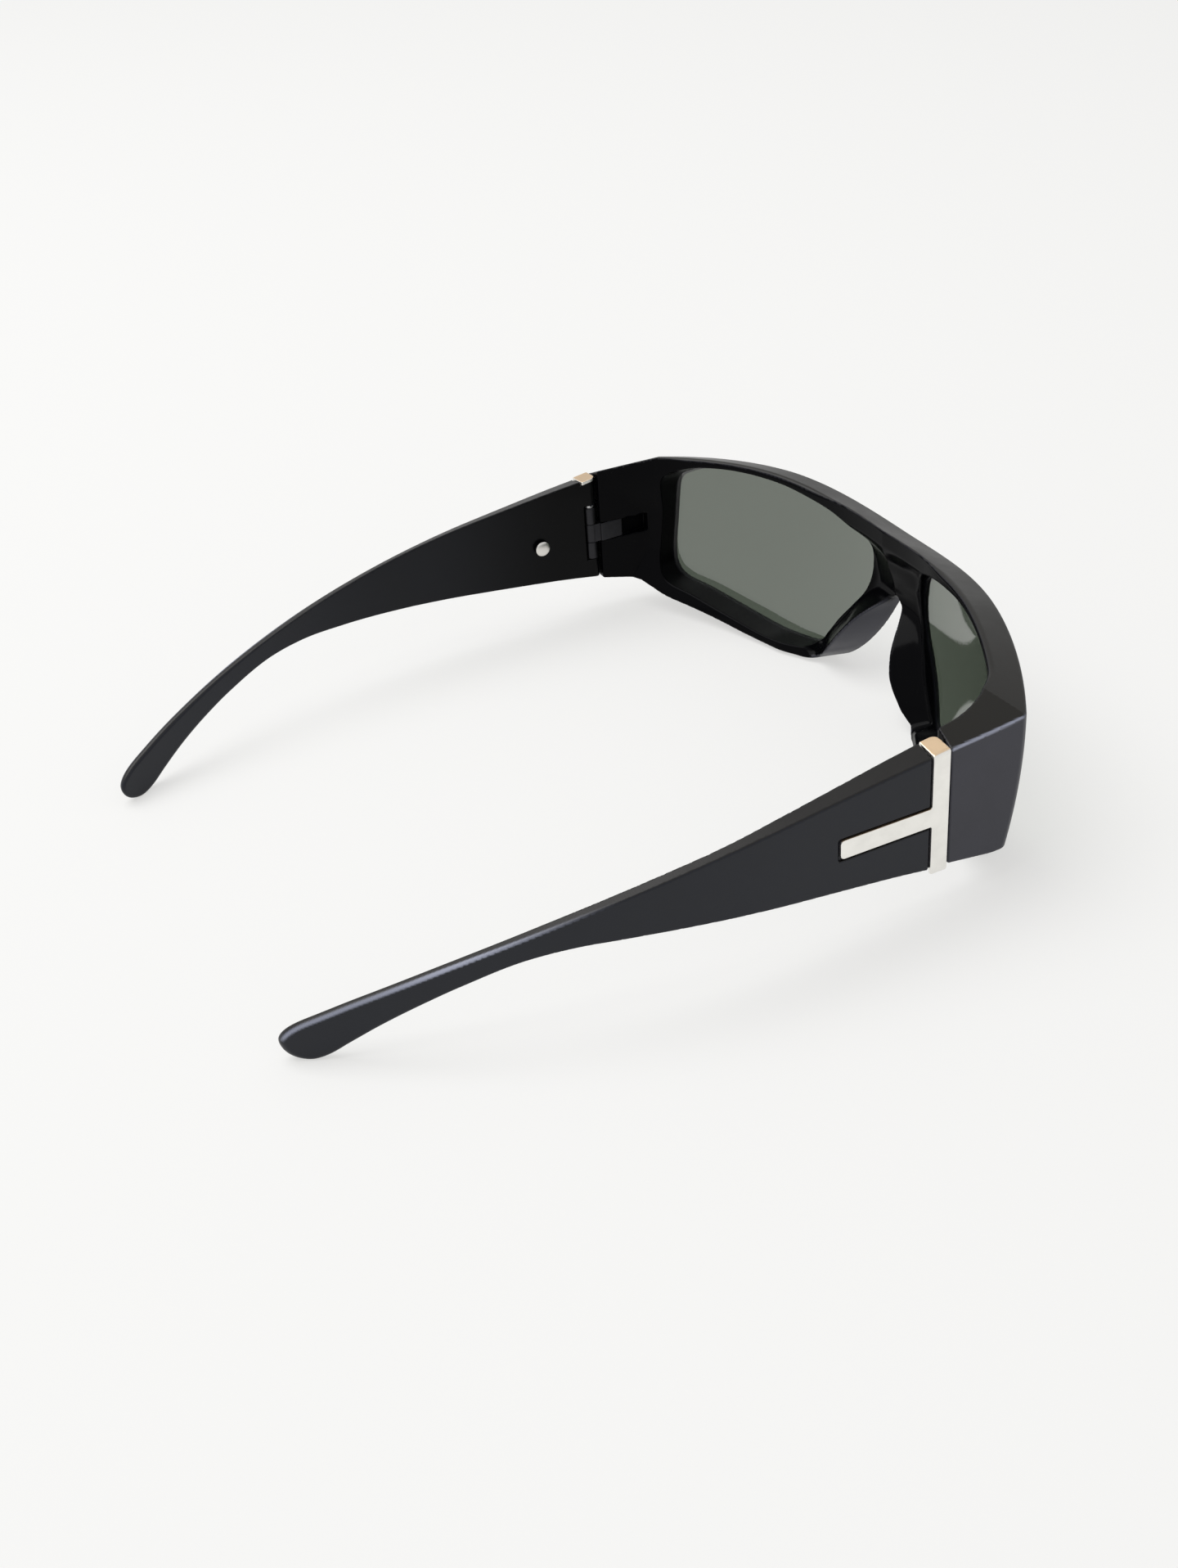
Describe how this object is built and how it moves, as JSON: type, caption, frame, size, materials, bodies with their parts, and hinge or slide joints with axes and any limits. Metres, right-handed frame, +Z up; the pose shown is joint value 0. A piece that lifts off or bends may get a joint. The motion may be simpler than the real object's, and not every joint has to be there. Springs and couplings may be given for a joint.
{
  "type": "wraparound sunglasses",
  "caption": "Black wraparound sunglasses with grey-green lenses, broad folding temples and silver T-shaped trims at the hinges.",
  "frame": {"origin": "under the middle of the whole box, on the surface that the sunglasses stand on", "axes": "+X is the wearer's left, the front faces -Y and the temples run back to +Y, +Z is up"},
  "size_m": [0.1364, 0.1576, 0.0388],
  "materials": {
    "frame_plastic": "satin black outside, glossier inside",
    "temple_plastic": "satin black",
    "lens_tint": "polished grey-green tint",
    "hinge_black": "black coated",
    "screw_steel": "plain steel",
    "trim_silver": "satin silver plate",
    "rivet_silver": "satin silver plate"
  },
  "bodies": {
    "front": {"front_frame": "frame_plastic", "left_lens": "lens_tint", "right_lens": "lens_tint", "left_front_leaf": "hinge_black", "right_front_leaf": "hinge_black"},
    "left_arm": {"left_temple": "temple_plastic", "left_temple_leaf": "hinge_black", "left_hinge_screw": "screw_steel", "left_plaque": "trim_silver", "left_rivet": "rivet_silver"},
    "right_arm": {"right_temple": "temple_plastic", "right_temple_leaf": "hinge_black", "right_hinge_screw": "screw_steel", "right_plaque": "trim_silver", "right_rivet": "rivet_silver"}
  },
  "joints": [
    {"name": "left_temple_fold", "type": "hinge", "parent": "front", "child": "left_arm", "pos_m": [0.06505, -0.0384, 0.0202], "axis": [0, 0, 1], "range_deg": [0, 86]},
    {"name": "right_temple_fold", "type": "hinge", "parent": "front", "child": "right_arm", "pos_m": [-0.06505, -0.0384, 0.0202], "axis": [0, 0, -1], "range_deg": [0, 78]}
  ]
}
